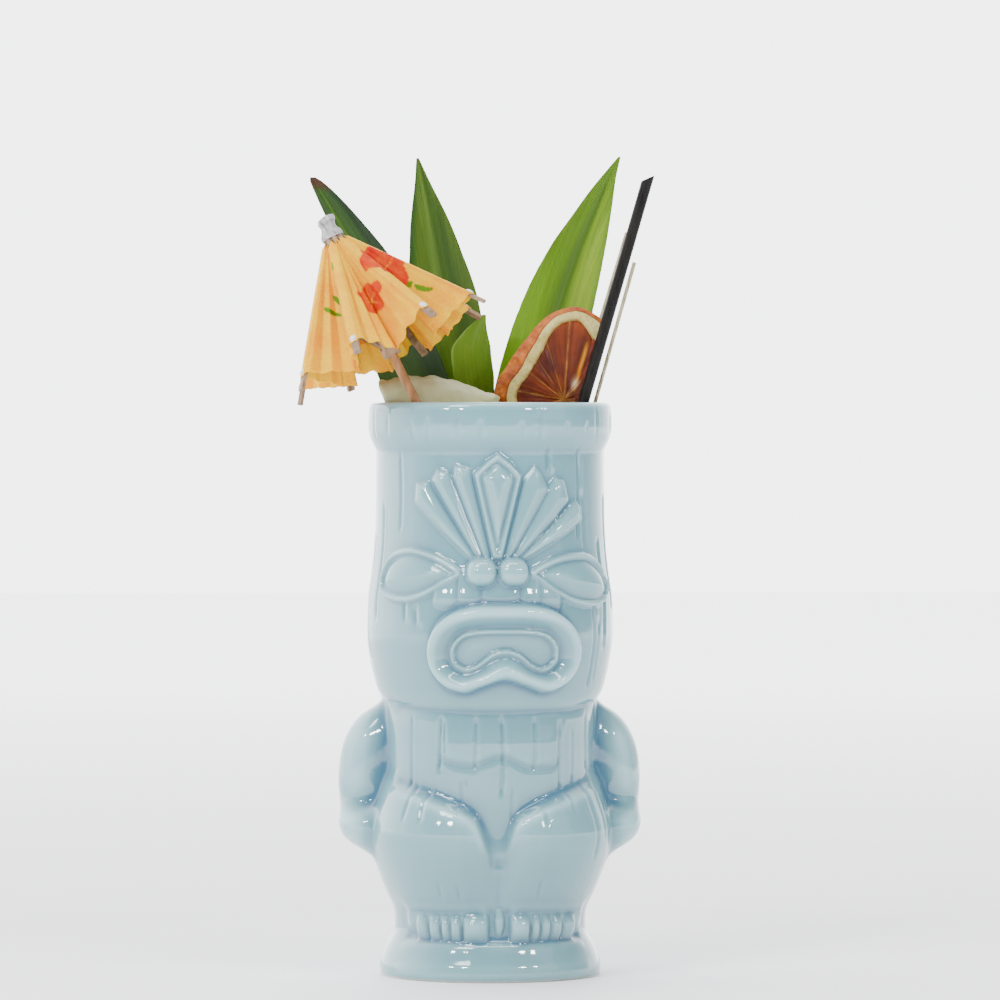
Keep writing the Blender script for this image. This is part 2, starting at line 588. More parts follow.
def make_mug():
    """The whole casting as one closed mesh: outside with relief, rolled rim, hollow and foot."""
    angles = mug_angles()
    signed = np.where(angles > math.pi, angles - 2 * math.pi, angles)
    heights = np.concatenate([np.linspace(0.0, 86.0, 108), np.linspace(86.0, 168.0, 134)[1:],
        np.linspace(168.0, RIM_START, 11)[1:]])
    grid_angle, grid_z = np.meshgrid(signed, heights)
    outside = mug_radius(grid_angle, grid_z)
    beside = smooth_step(1.0, 1.12, np.abs(grid_angle)) * (grid_z < 92.0)
    outside = outside + beside * (blurred(outside, 9, 3) - outside)
    pooled = 0.5 + 0.42 * (blurred(outside, 10, 8) - outside) + 0.10 * (blurred(outside, 60, 40) - outside)
    columns = len(angles)
    rows_r = [*outside]
    rows_z = [*grid_z]
    rows_pool = [*np.clip(pooled, 0, 1)]
    rows_bare = [np.full(columns, 1.0 - smooth_step(0.2, 0.9, z)) for z in heights]
    rim_out = outside[-1]
    for step in np.linspace(0.14, 1.0, 10):
        turn = step * math.pi
        blend = (1 + math.cos(turn)) / 2
        rows_r.append(RIM_INNER + (rim_out - RIM_INNER) * blend)
        rows_z.append(np.full(columns, RIM_START + RIM_RISE * math.sin(turn) ** 0.8))
        rows_pool.append(np.full(columns, 0.5 - 0.42 * math.sin(turn)))
        rows_bare.append(np.zeros(columns))
    for z in np.concatenate([np.linspace(174, 12, 18), [10.4, 9.2, 8.4, 7.8, 7.4]]):
        rows_r.append(np.full(columns, smooth_curve(MUG_INSIDE, np.array([z]))[0]))
        rows_z.append(np.full(columns, z))
        rows_pool.append(np.full(columns, 0.45))
        rows_bare.append(np.zeros(columns))
    r = np.array(rows_r)
    z = np.array(rows_z)
    points = np.stack([r * np.sin(angles), -r * np.cos(angles), z], axis=-1).reshape(-1, 3)
    faces = grid_faces(len(r), columns, wrap=True)
    extra = []
    for radius, height in FOOT_RINGS:
        extra.append(np.stack([radius * np.sin(angles), -radius * np.cos(angles),
            np.full(columns, height)], axis=-1))
    foot_first = len(points)
    points = np.concatenate([points, *extra, [[0, 0, 7.2], [0, 0, 1.0]]])
    faces += grid_faces(3, columns, wrap=True, first=foot_first, flip=True)
    top_row = (len(r) - 1) * columns
    floor_pole, foot_pole = len(points) - 2, len(points) - 1
    for column in range(columns):
        beside = (column + 1) % columns
        faces.append((foot_first + column, foot_first + beside, beside, column))
        faces.append((top_row + column, top_row + beside, floor_pole))
        last = foot_first + 2 * columns
        faces.append((last + beside, last + column, foot_pole))
    mug = make_mesh("mug_glazed", points, faces, glaze_material(), "mug", ["mug_body"])
    foot_bare = np.ones(3 * columns + 2)
    foot_bare[-2] = 0.0
    paint(mug, "pooled", np.concatenate([np.array(rows_pool).ravel(), np.full(3 * columns + 2, 0.5)]))
    paint(mug, "bare", np.concatenate([np.array(rows_bare).ravel(), foot_bare]))
    return mug


# ---------------------------------------------------------------- garnish frames


def turned(points):
    """Points of the served frame, carried into the mug's frame."""
    x, y, z = np.moveaxis(np.asarray(points, dtype=float), -1, 0)
    c, s = math.cos(TURN), math.sin(TURN)
    return np.stack([c * x - s * y, s * x + c * y, z], axis=-1)


LUMA = np.array([0.2126, 0.7152, 0.0722])
DEPTH = 0.50  # surfaces are painted this much darker, as the studio's light lifts and pales them
RICHNESS = 1.55


def srgb(red, green, blue):
    """The base colour that shows as this colour, given in the usual 0 to 255 steps, in the studio's light."""
    values = np.array([red, green, blue]) / 255.0
    light = np.where(values <= 0.04045, values / 12.92, ((values + 0.055) / 1.055) ** 2.4)
    grey = light @ LUMA
    depth = DEPTH + (1 - DEPTH) * np.clip(grey - 0.25, 0, 1)
    return np.clip(depth * (grey + RICHNESS * (light - grey)), 0.002, 0.95)


def blend_colour(base, over, amount):
    """Colours moved towards another by an amount for each point."""
    return base + (np.asarray(over) - base) * np.asarray(amount)[..., None]


def two_tones(base, over, amount):
    """A surface of one colour with another laid over it."""
    return blend_colour(np.tile(base, (*np.shape(amount), 1)), over, amount)


def paint_tint(piece, front, rear_share):
    """Paints a shell's front, and its rear by a share of the same colours."""
    front = front.reshape(-1, 3)
    paint_colour(piece, "tint", np.concatenate([front, front * rear_share]))


def shell(front, back):
    """Points and faces of a thin closed sheet from two grids of points that share their outer edges."""
    rows, columns, _ = front.shape
    count = rows * columns
    faces = grid_faces(rows, columns) + grid_faces(rows, columns, first=count, flip=True)
    for c in range(columns - 1):
        faces.append((c + 1, c, count + c, count + c + 1))
        d = (rows - 1) * columns + c
        faces.append((d, d + 1, count + d + 1, count + d))
    for r in range(rows - 1):
        e = r * columns
        faces.append((e, e + columns, count + e + columns, count + e))
        f = e + columns - 1
        faces.append((f + columns, f, count + f, count + f + columns))
    return np.concatenate([front.reshape(-1, 3), back.reshape(-1, 3)]), faces


# ---------------------------------------------------------------- leaves


# (height, middle x, half width) stations, the y at the rim and the lean back, as the CAD leaves
LEAVES = {"leaf_left": ([(136.0, -4.9, 4.5), (160.0, -13.9, 8.2), (180.0, -21.4, 10.8),
    (190.0, -25.15, 11.4), (212.0, -33.5, 9.9), (225.3, -39.3, 8.5), (236.6, -45.8, 6.1),
    (246.0, -52.2, 3.9), (251.0, -56.0, 2.2), (252.4, -57.2, 0.9)], 12.2, 0.5),
    "leaf_middle": ([(128.0, 8.2, 3.5), (160.0, -0.6, 5.0), (180.0, -6.1, 6.6), (190.0, -8.85, 8.9),
    (200.0, -11.6, 10.6), (212.0, -14.6, 11.2), (229.0, -17.6, 8.5), (240.4, -19.7, 5.8),
    (250.0, -21.6, 2.9), (258.3, -23.3, 0.4)], 22.6, 0.24), "leaf_right": ([(128.0, 0.1, 5.0),
    (160.0, 8.3, 9.4), (180.0, 13.4, 13.4), (190.0, 15.95, 13.4), (210.2, 21.2, 12.1), (229.0, 27.8, 9.3),
    (240.4, 32.7, 6.3), (250.0, 36.9, 3.4), (258.6, 41.4, 0.4)], 19.6, 0.24),
    "leaf_short": ([(140.0, 1.6, 3.0), (160.0, -1.2, 4.2), (180.0, -4.0, 5.6), (190.0, -5.4, 6.8),
    (196.0, -6.0, 6.6), (202.4, -4.6, 4.0), (207.8, -1.8, 0.5)], 14.6, 0.24)}
LEAF_CUP = 30.0
LEAF_THICKNESS = 1.0
LEAF_FREE = (186.0, 200.0)  # above the ice a leaf may ripple
LEAF_INSET = 0.3  # each edge stays this far inside the CAD leaf's, clear of the next leaf


def leaf_material(name):
    """A waxy leaf: painted tint, fine parallel veins and a soft sheen."""
    n = Nodes(name, Roughness=0.5, IOR=1.45, Specular_IOR_Level=0.2)
    tint = n.attribute("tint", "Color")
    vector = n.add("ShaderNodeCombineXYZ")
    n.join(n.attribute("across"), vector.inputs["X"])
    n.join(n.attribute("along"), vector.inputs["Y"])

    def veins(scale, detail):
        node = n.add("ShaderNodeTexNoise")
        node.inputs["Scale"].default_value = scale
        node.inputs["Detail"].default_value = detail
        n.join(vector.outputs["Vector"], node.inputs["Vector"])
        return node.outputs["Fac"]

    fine = n.range(veins(2.6, 3.0), 0.3, 0.7, 0.0, 1.0)
    broad = n.range(veins(0.7, 2.0), 0.3, 0.7, 0.0, 1.0)
    light = n.mix(fine, (0.84, 0.86, 0.80), (1.12, 1.10, 1.06))
    shade = n.mix(broad, (0.84, 0.87, 0.84), (1.12, 1.10, 1.10))
    colour = n.mix(1.0, tint, light, "MULTIPLY")
    n.feed("Base Color", n.mix(1.0, colour, shade, "MULTIPLY"))
    n.feed("Roughness", n.range(fine, 0.0, 1.0, 0.40, 0.58))
    n.feed("Normal", n.bump(fine, 0.35, 0.0002))
    return n.material


def leaf_colours(name, across, along):
    """The tint of each point of a leaf, from how far across (-1 to 1) and along (0 root to 1 tip) it lies."""
    cloud = cloud_noise(across * 2.0, along * 9.0, 21 + len(name))
    if name == "leaf_left":
        colour = two_tones(srgb(46, 66, 22), srgb(66, 92, 34), cloud)
        colour = blend_colour(colour, srgb(96, 122, 62), 0.8 * bump(across, -0.35, 0.10)
            * smooth_step(0.3, 0.6, along))
        colour = blend_colour(colour, srgb(30, 50, 14), 0.85 * smooth_step(0.15, 0.65, across))
        colour = blend_colour(colour, srgb(96, 126, 30), smooth_step(0.48, 0.30, along))
        return blend_colour(colour, srgb(74, 50, 34), smooth_step(0.955, 0.985, along))
    if name == "leaf_middle":
        colour = two_tones(srgb(76, 98, 50), srgb(98, 118, 66), cloud)
        colour = blend_colour(colour, srgb(62, 84, 38), 0.8 * bump(across, 0.42, 0.30))
        colour = blend_colour(colour, srgb(112, 136, 82), 0.7 * bump(across, -0.12, 0.12)
            * smooth_step(0.4, 0.7, along))
        colour = blend_colour(colour, srgb(52, 80, 34), 0.9 * smooth_step(-0.55, -0.95, across))
        return blend_colour(colour, srgb(116, 144, 62), 0.9 * smooth_step(0.62, 0.42, along))
    if name == "leaf_right":
        colour = two_tones(srgb(98, 126, 56), srgb(114, 140, 68), cloud)
        colour = blend_colour(colour, srgb(140, 172, 20), smooth_step(0.20, -0.65, across)
            * smooth_step(0.86, 0.56, along))
        band = bump(across, 0.02 - 0.35 * (0.75 - along), 0.22) * smooth_step(0.42, 0.72, along)
        colour = blend_colour(colour, srgb(76, 98, 48), 0.65 * band * smooth_step(1.0, 0.90, along))
        pale = smooth_step(0.12, 0.40, across) * smooth_step(1.05, 0.72, along)
        colour = blend_colour(colour, srgb(156, 178, 108), 0.75 * pale)
        colour = blend_colour(colour, srgb(122, 146, 86), 0.8 * bump(across, 0.46, 0.035))
        return blend_colour(colour, srgb(112, 140, 76), 0.7 * smooth_step(0.74, 1.0, across))
    colour = two_tones(srgb(112, 138, 66), srgb(122, 146, 76), cloud)
    edge = bump(across, -0.97, 0.05) * smooth_step(0.70, 0.80, along)
    return blend_colour(colour, srgb(150, 172, 120), 0.8 * edge)


def make_leaf(name, seed):
    """A cupped strip with thin edges, shallow furrows along it and a slightly wavy outline."""
    stations, rim_y, lean = LEAVES[name]
    low, high = stations[0][0], stations[-1][0]
    heights = low + (high - low) * (1 - (1 - np.linspace(0, 1, 190)) ** 1.15)
    across = np.sin(np.linspace(-math.pi / 2, math.pi / 2, 49))
    s, h = np.meshgrid(across, heights)
    middle = smooth_curve([(a, b) for a, b, _ in stations], h)
    half = smooth_curve([(a, c) for a, _, c in stations], h)
    wave = 0.008 * wave_noise(h * 0.35, s * 0.0, seed) + 0.004 * wave_noise(h * 1.5, s * 0.0, seed + 1)
    half = np.maximum(half * (1 + wave) - LEAF_INSET * smooth_step(0.0, 3.0, half), 0.2)
    back = rim_y + lean * (h - MUG_HEIGHT)
    x = s * half
    sag = LEAF_CUP - np.sqrt(LEAF_CUP**2 - x**2)
    along = (h - low) / (high - low)
    free = smooth_step(*LEAF_FREE, h)
    furrow = 0.16 * wave_noise(x * 0.9 + 0.02 * h, 0 * h, seed + 2, 2) * free * (1 - s**4)
    keel = -0.28 * bump(s, 0.08, 0.14) * free * smooth_step(1.0, 0.8, along)
    flutter = 0.08 * wave_noise(h * 0.11, s * 0.8, seed + 3, 2) * s**2 * free
    y = back - sag + furrow + keel + flutter
    thick = 0.06 + 0.4 * LEAF_THICKNESS * np.sqrt(np.clip(1 - s**2, 0, 1)) * np.minimum(1, half / 5.0)
    front = turned(np.stack([middle + x, y - thick, h], axis=-1))
    rear = turned(np.stack([middle + x, y + thick, h], axis=-1))
    points, faces = shell(front, rear)
    piece = make_mesh(name + "_blade", points, faces, leaf_material(name), name, [name])
    paint_tint(piece, leaf_colours(name, s, along), 0.9)
    paint(piece, "across", np.tile(x.ravel(), 2))
    paint(piece, "along", np.tile((h * 0.02).ravel(), 2))


# ---------------------------------------------------------------- dried orange


ORANGE_CENTRE = np.array([29.6, -1.2, 180.6])
ORANGE_LEAN = math.radians(16.1)
ORANGE_HALF = 2.3
# (degrees from the top of the cut edge, radius): dried slices shrink unevenly
ORANGE_OUTLINE = [(0, 24.8), (4, 25.8), (10, 27.4), (17, 28.9), (24, 29.5), (33, 29.4), (42, 28.6),
    (52, 27.3), (66, 26.3), (78, 26.5), (92, 27.6), (104, 28.4), (116, 28.6), (180, 28.5)]
ORANGE_HUB = (6.2, -1.5)  # where the membranes meet, left of the cut edge and along it
MEMBRANES = (12.0, 33.0, 50.0, 68.0, 96.0, 122.0, 150.0)


def orange_points(left, up, depth):
    """Points of the half wheel: left of its cut edge, up along it, and depth behind its middle."""
    c, s = math.cos(ORANGE_LEAN), math.sin(ORANGE_LEAN)
    x = ORANGE_CENTRE[0] - left * c + up * s
    z = ORANGE_CENTRE[2] + left * s + up * c
    return turned(np.stack([x, ORANGE_CENTRE[1] + depth, z], axis=-1))


def polar_piece(inner, outer, front, back, rows, columns):
    """A closed slab over the half wheel between two radii, with its front and back depths."""
    degrees = np.linspace(0.0, 180.0, columns)
    share = np.linspace(0.0, 1.0, rows)
    angle, part = np.meshgrid(degrees, share)
    low, high = inner(angle), outer(angle)
    radius = low + (high - low) * part
    rad = np.radians(angle)
    left, up = radius * np.sin(rad), radius * np.cos(rad)
    near = orange_points(left, up, front(angle, radius, left, up))
    far = orange_points(left, up, back(angle, radius, left, up))
    return angle, radius, left, up, *shell(near, far)


def rind_material():
    """Dried peel: orange-brown, pored and creased."""
    n = Nodes("rind", Roughness=0.55, IOR=1.45, Specular_IOR_Level=0.4)
    tint = n.attribute("tint", "Color")
    pores = n.add("ShaderNodeTexVoronoi", feature="F1")
    pores.inputs["Scale"].default_value = 1500.0
    n.join(n.place(), pores.inputs["Vector"])
    pore = n.range(pores.outputs["Distance"], 0.05, 0.45, 0.0, 1.0)
    crease = n.grain(0.35, 0.65, 420.0, 4.0)
    shade = n.mix(crease, (0.62, 0.52, 0.44), (1.12, 1.08, 1.0))
    n.feed("Base Color", n.mix(1.0, tint, shade, "MULTIPLY"))
    n.feed("Normal", n.bump(crease, 0.5, 0.0004, n.bump(pore, 0.35, 0.0002)))
    return n.material


def pith_material():
    """Dry cream pith, matt and a little spongy."""
    n = Nodes("pith", Roughness=0.85, IOR=1.4, Specular_IOR_Level=0.25)
    tint = n.attribute("tint", "Color")
    sponge = n.grain(0.35, 0.65, 900.0, 4.0)
    n.feed("Base Color", n.mix(1.0, tint, n.mix(sponge, (0.82, 0.78, 0.70), (1.06, 1.05, 1.02)),
        "MULTIPLY"))
    n.feed("Normal", n.bump(sponge, 0.5, 0.00025))
    return n.material


def pulp_material():
    """Dried glassy flesh: brown-red, with long juice cells that fan out from the middle."""
    n = Nodes("pulp", Roughness=0.45, IOR=1.45, Specular_IOR_Level=0.25)
    tint = n.attribute("tint", "Color")
    cells = n.range(n.attribute("cells"), -0.6, 0.6, 0.0, 1.0)
    shade = n.mix(cells, (0.72, 0.64, 0.60), (1.16, 1.10, 1.05))
    n.feed("Base Color", n.mix(1.0, tint, shade, "MULTIPLY"))
    n.feed("Roughness", n.range(n.noise(300.0, 2.0), 0.35, 0.65, 0.3, 0.6))
    n.feed("Normal", n.bump(n.noise(1100.0, 3.0), 0.35, 0.0002))
    return n.material


def make_orange():
    """Half of a dried orange wheel as three pieces: rind, pith and pulp."""

    def outline(angle):
        return smooth_curve(ORANGE_OUTLINE, angle) + 0.25 * wave_noise(angle * 0.22, 0 * angle, 31)

    def rind_width(angle):
        return 1.5 + 2.7 * smooth_step(28.0, 78.0, angle) + 0.35 * wave_noise(angle * 0.16, 0 * angle, 32)

    def under_rind(angle):
        return outline(angle) - rind_width(angle)

    def under_pith(angle):
        near_cut = 3.4 * smooth_step(22.0, 4.0, angle)
        return under_rind(angle) - 2.9 - 0.7 * wave_noise(angle * 0.12, 0 * angle, 33) - near_cut

    def curl(angle):
        return 1.9 * smooth_step(28.0, 78.0, angle)

    def wrinkle(angle, radius):
        return 0.42 * wave_noise(angle * 0.55, radius * 1.1, 34, 3)

    def rind_front(angle, radius, left, up):
        out = np.clip((radius - under_rind(angle)) / rind_width(angle), 0, 1)
        rise = (1.1 + curl(angle)) * out**1.3
        return -ORANGE_HALF + 0.45 + rise + wrinkle(angle, radius) * (0.3 + 0.7 * out)

    def rind_back(angle, radius, left, up):
        return np.full_like(radius, ORANGE_HALF - 0.05)

    angle, radius, left, up, points, faces = polar_piece(lambda a: under_rind(a) + 0.02, outline,
        rind_front, rind_back, 14, 420)
    rind = make_mesh("orange_peel", points, faces, rind_material(), "orange", ["orange_rind"])
    cloud = cloud_noise(angle * 0.3, radius * 1.2, 35)
    tint = two_tones(srgb(176, 96, 30), srgb(216, 150, 66), cloud)
    inner_edge = smooth_step(0.22, 0.0, (radius - under_rind(angle)) / rind_width(angle))
    tint = blend_colour(tint, srgb(120, 52, 20), 0.7 * inner_edge)
    paint_tint(rind, tint, 0.9)

    def pith_front(angle, radius, left, up):
        part = (radius - under_pith(angle)) / (under_rind(angle) - under_pith(angle))
        swell = 0.45 * np.sin(math.pi * np.clip(part, 0, 1))
        return -ORANGE_HALF + 0.35 - swell + 0.12 * wave_noise(left * 1.1, up * 1.1, 36)

    angle, radius, left, up, points, faces = polar_piece(lambda a: under_pith(a) - 0.35,
        lambda a: under_rind(a), pith_front, rind_back, 20, 300)
    pith = make_mesh("orange_white", points, faces, pith_material(), "orange", ["orange_pith"])
    cloud = cloud_noise(left * 0.5, up * 0.5, 37)
    tint = two_tones(srgb(196, 186, 140), srgb(222, 214, 176), cloud)
    part = (radius - under_pith(angle)) / (under_rind(angle) - under_pith(angle))
    tint = blend_colour(tint, srgb(150, 110, 66), 0.6 * smooth_step(0.16, 0.0, part))
    paint_tint(pith, tint, 0.92)

    def hub_angle(left, up):
        return np.degrees(np.arctan2(left - ORANGE_HUB[0], up - ORANGE_HUB[1]))

    def segment_place(left, up):
        """Which way a point lies from the hub, and how far between two membranes, -1 to 1."""
        turn = (hub_angle(left, up) + 90.0) % 360.0 - 90.0
        edges = np.array([-90.0, -25.0, *MEMBRANES, 192.0, 270.0])
        index = np.clip(np.searchsorted(edges, turn) - 1, 0, len(edges) - 2)
        low, high = edges[index], edges[index + 1]
        return turn, index, 2 * (turn - low) / (high - low) - 1

    def cut_band(left, up):
        return smooth_step(3.1, 2.3, left + 0.35 * np.sin(up * 0.5)) * smooth_step(-0.2, 0.3, left + 0.3)

    def pulp_front(angle, radius, left, up):
        turn, index, place = segment_place(left, up)
        away = np.hypot(left - ORANGE_HUB[0], up - ORANGE_HUB[1])
        swell = 0.75 * (1 - np.abs(place) ** 2.6) * smooth_step(0.5, 6.0, away)
        cells = 0.16 * wave_noise(turn * 0.55, away * 0.22, 38, 3)
        ridge = 0.5 * np.exp(-(((1 - np.abs(place)) * away * 0.16) ** 2) * 9.0)
        band = cut_band(left, up)
        folded = 0.9 * band * (1 + 0.3 * wave_noise(left * 2.0, up * 0.5, 39))
        edge = smooth_step(0.0, 1.0, under_pith(angle) - radius)
        surface = (swell + cells) * edge * (1 - band) + ridge * (1 - band) + folded
        return -0.7 * ORANGE_HALF + 0.25 - surface

    def pulp_back(angle, radius, left, up):
        turn, index, place = segment_place(left, up)
        return 0.7 * ORANGE_HALF - 0.1 + 0.4 * (1 - np.abs(place) ** 2.6)

    angle, radius, left, up, points, faces = polar_piece(lambda a: 0 * a + 0.4, lambda a: under_pith(a)
        + 0.3, pulp_front, pulp_back, 110, 260)
    pulp = make_mesh("orange_flesh", points, faces, pulp_material(), "orange", ["orange_pulp"])
    turn, index, place = segment_place(left, up)
    away = np.hypot(left - ORANGE_HUB[0], up - ORANGE_HUB[1])
    cloud = cloud_noise(turn * 0.10, away * 0.3, 40)
    tint = two_tones(srgb(82, 38, 8), srgb(132, 74, 22), cloud)
    ridge = np.exp(-(((1 - np.abs(place)) * away * 0.34) ** 2) * 9.0)
    broken = 0.55 + 0.45 * wave_noise(away * 0.9, turn * 0.2, 41)
    tint = blend_colour(tint, srgb(196, 160, 112), 0.75 * ridge * broken)
    tint = blend_colour(tint, srgb(172, 128, 84), 0.6 * smooth_step(0.9, 0.0, under_pith(angle) - radius))
    slit = bump(left, 4.0, 0.55) * smooth_step(1.0, 4.0, up) * smooth_step(19.0, 14.0, up)
    tint = blend_colour(tint, srgb(236, 176, 96), 0.95 * slit)
    hole = bump(left, 4.3, 0.8) * bump(up, 4.2, 1.6)
    tint = blend_colour(tint, srgb(232, 226, 206), 0.8 * hole)
    band = cut_band(left, up)
    dark = two_tones(srgb(70, 32, 18), srgb(150, 72, 26), cloud_noise(left * 1.6, up * 0.35, 42))
    tint = (tint * (1 - band[..., None]) + dark * band[..., None])
    paint_tint(pulp, tint, 0.8)
    cells = wave_noise(turn * 0.9, away * 0.25, 43, 3).ravel()
    paint(pulp, "cells", np.tile(cells, 2))


# ---------------------------------------------------------------- crushed ice


MOUND_MIDDLE = (-15.5, -5.0, 177.0)
MOUND_REACH = (17.0, 13.0, 11.0)
ICE_TOP = 178.0
ICE_BOTTOM = 106.0
ICE_VOXEL = 0.8
# (x, height) of the heap's top
ICE_RIDGE = [(-36.0, 184.6), (-33.0, 186.4), (-29.0, 187.6), (-24.0, 188.2), (-18.0, 188.0),
    (-12.0, 186.6), (-6.0, 184.6), (-1.0, 182.6), (4.0, 180.4)]


def ice_material():
    """Half-melted crushed ice in a cloudy cocktail: dull, wet and a little see-through."""
    n = Nodes("ice", Roughness=0.22, IOR=1.31, Specular_IOR_Level=0.35, Subsurface_Weight=0.3,
        Subsurface_Scale=0.004)
    n.shader.inputs["Subsurface Radius"].default_value = (1.0, 0.9, 0.6)
    grains = n.add("ShaderNodeTexVoronoi", feature="F1")
    grains.inputs["Scale"].default_value = 260.0
    n.join(n.place(), grains.inputs["Vector"])
    grain = n.range(grains.outputs["Distance"], 0.0, 0.7, 0.0, 1.0)
    cloud = n.grain(0.35, 0.65, 70.0, 4.0)
    tone = n.mix(cloud, (0.42, 0.43, 0.22), (0.56, 0.56, 0.33))
    n.feed("Base Color", n.mix(n.range(grain, 0.0, 1.0, 0.18, 0.0), tone, (0.66, 0.67, 0.48)))
    n.feed("Roughness", n.range(n.noise(160.0, 3.0), 0.3, 0.7, 0.3, 0.6))
    n.feed("Normal", n.bump(grain, 0.35, 0.0006, n.bump(n.noise(500.0, 3.0), 0.2, 0.0004)))
    return n.material


def make_ice():
    """The CAD ice, remeshed finely, with a flatter heap and lumps. Its pockets for the garnish stay."""
    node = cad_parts["crushed_ice"]
    copy = bpy.data.objects.new("ice_heap", node.data.copy())
    bpy.context.scene.collection.objects.link(copy)
    remesh = copy.modifiers.new("remesh", "REMESH")
    remesh.mode = "VOXEL"
    remesh.voxel_size = ICE_VOXEL * MM
    bpy.context.view_layer.update()
    done = bpy.data.meshes.new_from_object(copy.evaluated_get(bpy.context.evaluated_depsgraph_get()))
    count = len(done.vertices)
    flat = np.zeros(count * 3)
    done.vertices.foreach_get("co", flat)
    world = flat.reshape(-1, 3) / MM
    c, s = math.cos(-TURN), math.sin(-TURN)
    x, y, z = world.T
    x, y = c * x - s * y, s * x + c * y
    px = (x - MOUND_MIDDLE[0]) / MOUND_REACH[0]
    py = (y - MOUND_MIDDLE[1]) / MOUND_REACH[1]
    pz = (z - MOUND_MIDDLE[2]) / MOUND_REACH[2]
    length = np.sqrt(px**2 + py**2 + pz**2) + 1e-9
    heap = smooth_step(ICE_TOP - 0.2, ICE_TOP + 1.0, z)
    share = np.clip(pz / np.sqrt(np.clip(1 - px**2, 0.03, 1)), 0, 1)
    ridge = smooth_curve(ICE_RIDGE, x)
    z = z + heap * (MOUND_MIDDLE[2] + (ridge - MOUND_MIDDLE[2]) * share**0.62 - z)
    over_rim = smooth_step(180.25, 181.4, z) * heap
    x = x - 3.0 * over_rim * smooth_step(-0.55, -0.97, px) + 2.0 * over_rim * smooth_step(0.5, 1.0, px)
    reach = np.hypot(x, y)
    side = smooth_step(30.6, 31.2, reach) * (z < ICE_TOP - 0.4)
    top = heap * smooth_step(0.93, 1.0, length)
    flat_top = smooth_step(ICE_TOP - 0.35, ICE_TOP - 0.1, z) * (1 - heap)
    lumps = wave_noise(x * 0.55 + z * 0.3, y * 0.55 - z * 0.45, 51, 4)
    inward = 0.45 * (1 - lumps) * side
    x, y = x * (1 - inward / reach), y * (1 - inward / reach)
    z = z + 0.75 * lumps * top - 0.5 * (1 - lumps) * flat_top
    z = z + 0.6 * (1 + lumps) * smooth_step(ICE_BOTTOM + 0.4, ICE_BOTTOM + 0.1, z)
    done.vertices.foreach_set("co", (turned(np.stack([x, y, z], axis=-1)) * MM).ravel())
    bpy.data.objects.remove(copy)
    done.materials.clear()
    done.materials.append(ice_material())
    done.polygons.foreach_set("use_smooth", [True] * len(done.polygons))
    piece = bpy.data.objects.new("ice_lumps", done)
    bpy.context.scene.collection.objects.link(piece)
    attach(piece, "ice")
    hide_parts("crushed_ice")


# ---------------------------------------------------------------- paper umbrella


def umbrella_axes():
    """The umbrella's frame as columns across, forward and up, in the served frame, and its origin."""
    side, back = math.radians(27.0), math.radians(8.0)
    up = np.array([-math.sin(side) * math.cos(back), math.sin(back), math.cos(side) * math.cos(back)])
    across = np.array([math.cos(side), 0.0, math.sin(side)])
    return np.stack([across, np.cross(up, across), up], axis=1), np.array([-48.8, -14.6, 231.0])


def on_umbrella(points):
    """Points of the umbrella's frame, carried into the mug's frame."""
    axes, origin = umbrella_axes()
    return turned(np.asarray(points) @ axes.T + origin)


HALF_ANGLE = math.radians(38.0)
SPIN = -15.0
RIBS = 8
RIB_STEP = 360.0 / RIBS
THREAD_CIRCLE = 2.4
PAPER_START = 2.2
PAPER_END = 47.0
PAPER_SIDE = 1.45
PAPER_RISE = 0.75
VALLEY_ANGLE = math.radians(22.6)
VALLEY_START = 3.2
PAPER_THICKNESS = 0.14
PLEATS = 2.5  # knife pleats in a panel
PLEAT_HEIGHT = 0.95


def rib_point(index, along, side, rise):
    """Points given along a rib, across it and out from it, in the umbrella's frame."""
    spin = math.radians(SPIN - index * 360.0 / RIBS)
    out = np.array([math.cos(spin), math.sin(spin), 0.0])
    level = np.array([-math.sin(spin), math.cos(spin), 0.0])
    up = np.array([0.0, 0.0, 1.0])
    down_rib = out * math.sin(HALF_ANGLE) - up * math.cos(HALF_ANGLE)
    outward = out * math.cos(HALF_ANGLE) + up * math.sin(HALF_ANGLE)
    along, side, rise = np.broadcast_arrays(along, side, rise)
    return (out * THREAD_CIRCLE + along[..., None] * down_rib + side[..., None] * level + rise[..., None]
        * outward)


# (degrees round the flat paper, distance from its middle, size)
FLOWERS = ((-24.0, 19.5, 10.5), (-66.0, 27.0, 6.4), (-104.0, 23.5, 4.6), (-152.0, 36.0, 5.6),
    (-197.0, 20.0, 6.5), (-236.0, 31.0, 6.0), (-283.0, 19.0, 6.4), (-318.0, 34.0, 5.6))
# (degrees, distance, lean of the stroke in degrees, half length, half width)
LEAF_STROKES = ((-114.0, 22.0, 40.0, 3.2, 0.9), (-121.0, 25.5, 60.0, 3.0, 0.9),
    (-112.0, 28.5, -10.0, 2.6, 0.9), (-98.0, 12.5, 10.0, 1.9, 0.8), (-15.0, 28.5, 50.0, 2.4, 1.2),
    (-11.0, 33.5, 20.0, 3.2, 1.1), (-20.0, 34.5, -30.0, 2.6, 1.0), (-176.0, 29.0, 30.0, 3.2, 1.0),
    (-212.0, 27.0, -20.0, 3.0, 1.0), (-253.0, 22.0, 40.0, 3.2, 1.0), (-296.0, 28.0, 10.0, 3.0, 1.0),
    (-340.0, 24.0, -40.0, 3.0, 1.0))


